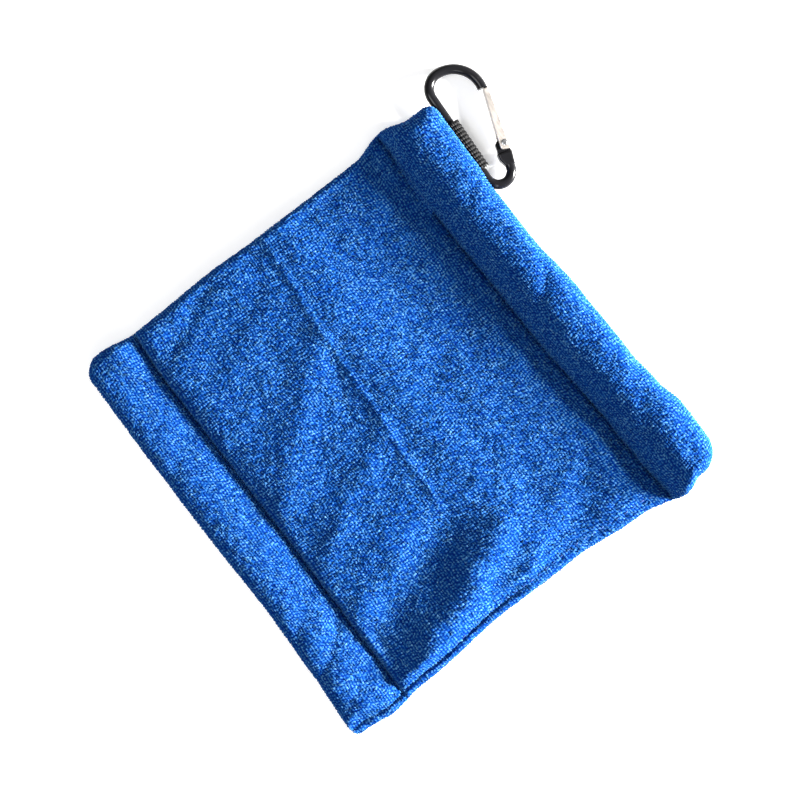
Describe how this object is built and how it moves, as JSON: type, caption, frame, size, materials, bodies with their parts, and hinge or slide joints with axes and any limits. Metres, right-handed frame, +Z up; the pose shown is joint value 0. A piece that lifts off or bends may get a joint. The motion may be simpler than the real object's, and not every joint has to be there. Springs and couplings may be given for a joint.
{
  "type": "golf towel",
  "caption": "Small folded terry cleaning pouch with thick hems and a sprung-gate carabiner held on by a ribbed elastic strap.",
  "frame": {"origin": "centre of the face that the towel rests on", "axes": "+X towards the sewn side, -X towards the fold, +Y towards the hem with the carabiner, +Z up, away from the rest face"},
  "size_m": [0.1469, 0.1542, 0.0104],
  "materials": {
    "terry": "looped microfibre pile",
    "thread": "matt sewing thread",
    "elastic": "ribbed woven elastic",
    "black_anodised": "gloss black anodised aluminium",
    "gate_metal": "satin pressed aluminium",
    "steel": "bright steel"
  },
  "bodies": {
    "towel": {"folded_panel": "terry", "clip_hem": "terry", "mouth_hem": "terry", "clip_hem_stitches": "thread", "mouth_hem_stitches": "thread", "side_seam_stitches": "thread", "elastic_loop": "elastic", "loop_stitches": "elastic"},
    "carabiner": {"carabiner_body": "black_anodised"},
    "gate": {"gate_channel": "gate_metal", "gate_rivet": "steel", "gate_spring": "steel"},
    "plunger": {"gate_plunger": "steel"}
  },
  "joints": [
    {"name": "carabiner_swing", "type": "hinge", "parent": "towel", "child": "carabiner", "pos_m": [-0.0525, 0.06775, 0.0032], "axis": [0.9982, -0.0593, 0], "range_deg": [-84, 70]},
    {"name": "gate_hinge", "type": "hinge", "parent": "carabiner", "child": "gate", "pos_m": [-0.0458, 0.07816, 0.00224], "axis": [0.0053, 0.0887, 0.996], "range_deg": [0, 30], "stiffness_Nm_per_rad": 0.004, "springref_deg": -20.05},
    {"name": "plunger_slide", "type": "slide", "parent": "gate", "child": "plunger", "axis": [-0.9456, 0.3245, -0.0239], "range_m": [0, 0.00056], "deforming": ["gate_spring"]}
  ],
  "couplings": [
    {"joint": "plunger_slide", "follows": "gate_hinge", "m_per_rad": 0.00103}
  ]
}
